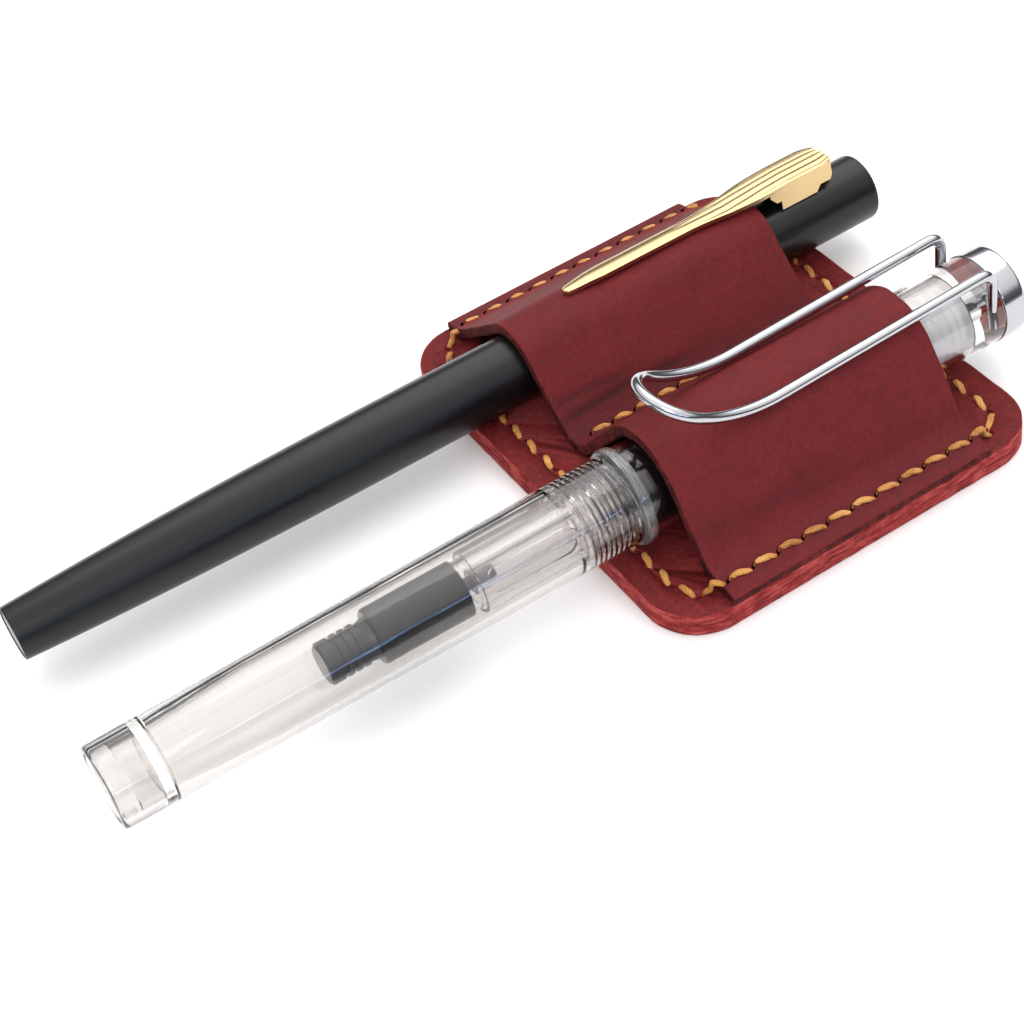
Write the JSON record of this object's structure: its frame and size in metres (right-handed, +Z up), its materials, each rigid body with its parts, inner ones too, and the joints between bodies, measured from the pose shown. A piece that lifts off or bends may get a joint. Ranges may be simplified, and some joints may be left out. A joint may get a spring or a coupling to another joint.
{
  "type": "fountain pen case",
  "caption": "Open leather case with two sewn loops, holding a black fountain pen with a gold clip and a clear fountain pen with a wire clip.",
  "frame": {"origin": "centre of the case's underside, which rests on the table", "axes": "+X across the two pens from the black one to the clear one, +Y along the pens towards their caps, +Z up out of the backing"},
  "size_m": [0.072, 0.1409, 0.0262],
  "materials": {
    "leather_back": "matte, rough cut edges",
    "leather_front": "matte, fine grain",
    "leather_loop": "matte, fine grain, lightly waxed",
    "thread": "waxed polyester, plied",
    "black_plastic": "satin",
    "black_gloss": "polished",
    "gold": "gold plated, polished",
    "pale_plug": "satin",
    "ink_cartridge": "translucent, full of ink",
    "clear_plastic": "water clear, polished",
    "chrome": "polished",
    "steel": "polished",
    "smoke_plastic": "smoky",
    "seal": "matte"
  },
  "bodies": {
    "case": {"back_layer": "leather_back", "front_layer": "leather_front", "loop_panel": "leather_loop", "perimeter_thread": "thread", "centre_thread": "thread"},
    "black_cap": {"black_cap_tube": "black_plastic", "black_inner_cap": "black_plastic", "black_crown": "black_plastic"},
    "black_clip": {"gold_clip": "gold"},
    "black_section": {"black_grip": "black_gloss", "black_trim_ring": "gold", "black_feed": "black_plastic", "black_nib": "gold"},
    "black_barrel": {"black_barrel_tube": "black_plastic", "black_end_plug": "pale_plug"},
    "black_cartridge": {"ink_cartridge": "ink_cartridge"},
    "clear_cap": {"clear_cap_tube": "clear_plastic", "clear_inner_cap": "clear_plastic", "chrome_finial": "chrome", "finial_screw": "steel"},
    "clear_clip": {"wire_clip": "chrome"},
    "clear_section": {"clear_grip": "black_gloss", "clear_collar": "clear_plastic", "section_o_ring": "seal", "clear_feed": "black_gloss", "clear_nib": "steel"},
    "clear_barrel": {"clear_barrel_tube": "clear_plastic", "clear_barrel_plug": "clear_plastic"},
    "converter": {"converter_tube": "clear_plastic", "converter_sleeve": "black_gloss"},
    "knob": {"converter_knob": "smoke_plastic"},
    "piston": {"converter_piston": "clear_plastic"}
  },
  "joints": [
    {"name": "black_pen_draw", "type": "slide", "parent": "case", "child": "black_cap", "axis": [0, 1, 0], "range_m": [0, 0.125]},
    {"name": "gold_clip_flex", "type": "hinge", "parent": "black_cap", "child": "black_clip", "pos_m": [-0.01683, 0.0332, 0.01413], "axis": [-0.9877, 0, -0.1564], "range_deg": [0, 4], "stiffness_Nm_per_rad": 2},
    {"name": "black_cap_pull", "type": "slide", "parent": "black_cap", "child": "black_section", "axis": [0, -1, 0], "range_m": [0, 0.055]},
    {"name": "black_barrel_unscrew", "type": "slide", "parent": "black_section", "child": "black_barrel", "axis": [0, -1, 0], "range_m": [0, 0.05]},
    {"name": "cartridge_pull", "type": "slide", "parent": "black_section", "child": "black_cartridge", "axis": [0, -1, 0], "range_m": [0, 0.01]},
    {"name": "clear_pen_draw", "type": "slide", "parent": "case", "child": "clear_cap", "axis": [0, 1, 0], "range_m": [0, 0.125]},
    {"name": "wire_clip_flex", "type": "hinge", "parent": "clear_cap", "child": "clear_clip", "pos_m": [0.0166, 0.0324, 0.0128], "axis": [-1, 0, 0], "range_deg": [0, 3.5], "stiffness_Nm_per_rad": 2},
    {"name": "clear_cap_pull", "type": "slide", "parent": "clear_cap", "child": "clear_section", "axis": [0, -1, 0], "range_m": [0, 0.055]},
    {"name": "clear_barrel_unscrew", "type": "slide", "parent": "clear_section", "child": "clear_barrel", "axis": [0, -1, 0], "range_m": [0, 0.05]},
    {"name": "converter_pull", "type": "slide", "parent": "clear_section", "child": "converter", "axis": [0, -1, 0], "range_m": [0, 0.012]},
    {"name": "knob_turn", "type": "hinge", "parent": "converter", "child": "knob", "pos_m": [0.0166, -0.067, 0.01055], "axis": [0, -1, 0], "range_deg": [0, 1440]},
    {"name": "piston_travel", "type": "slide", "parent": "converter", "child": "piston", "axis": [0, -1, 0], "range_m": [0, 0.012]}
  ],
  "couplings": [
    {"joint": "knob_turn", "follows": "piston_travel", "rad_per_m": 2094.4}
  ]
}
